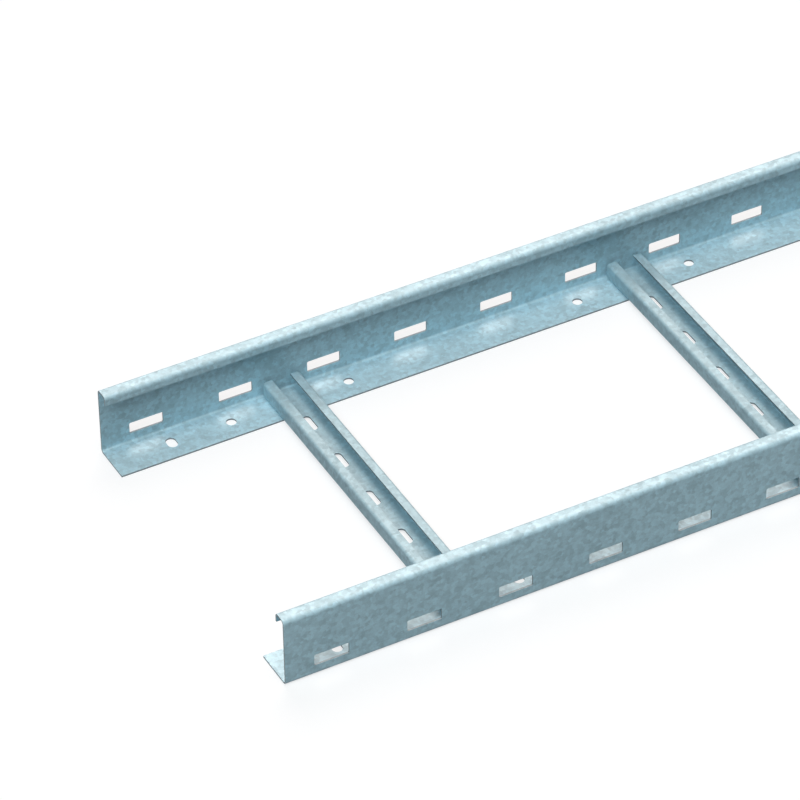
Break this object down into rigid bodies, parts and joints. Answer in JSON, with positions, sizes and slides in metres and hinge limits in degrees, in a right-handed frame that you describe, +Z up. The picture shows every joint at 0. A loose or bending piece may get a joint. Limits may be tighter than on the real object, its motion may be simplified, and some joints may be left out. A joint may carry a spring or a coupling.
{
  "type": "cable ladder section",
  "caption": "Straight cable ladder section of galvanised sheet steel: two lipped side rails with slotted webs, joined by perforated open C rungs.",
  "frame": {"origin": "bottom centre of the ladder, on the floor under its middle", "axes": "+X along the rails, +Y across from rail_right to rail_left, +Z up"},
  "size_m": [3, 0.3, 0.06],
  "materials": {
    "rail_steel": "galvanised, dull blue-grey with a fine spangle",
    "rung_steel": "galvanised, dull blue-grey with a fine spangle"
  },
  "bodies": {
    "root": {"rail_left": "rail_steel", "rail_right": "rail_steel", "rung_01": "rung_steel", "rung_02": "rung_steel", "rung_03": "rung_steel", "rung_04": "rung_steel", "rung_05": "rung_steel", "rung_06": "rung_steel", "rung_07": "rung_steel", "rung_08": "rung_steel", "rung_09": "rung_steel", "rung_10": "rung_steel"}
  },
  "joints": []
}
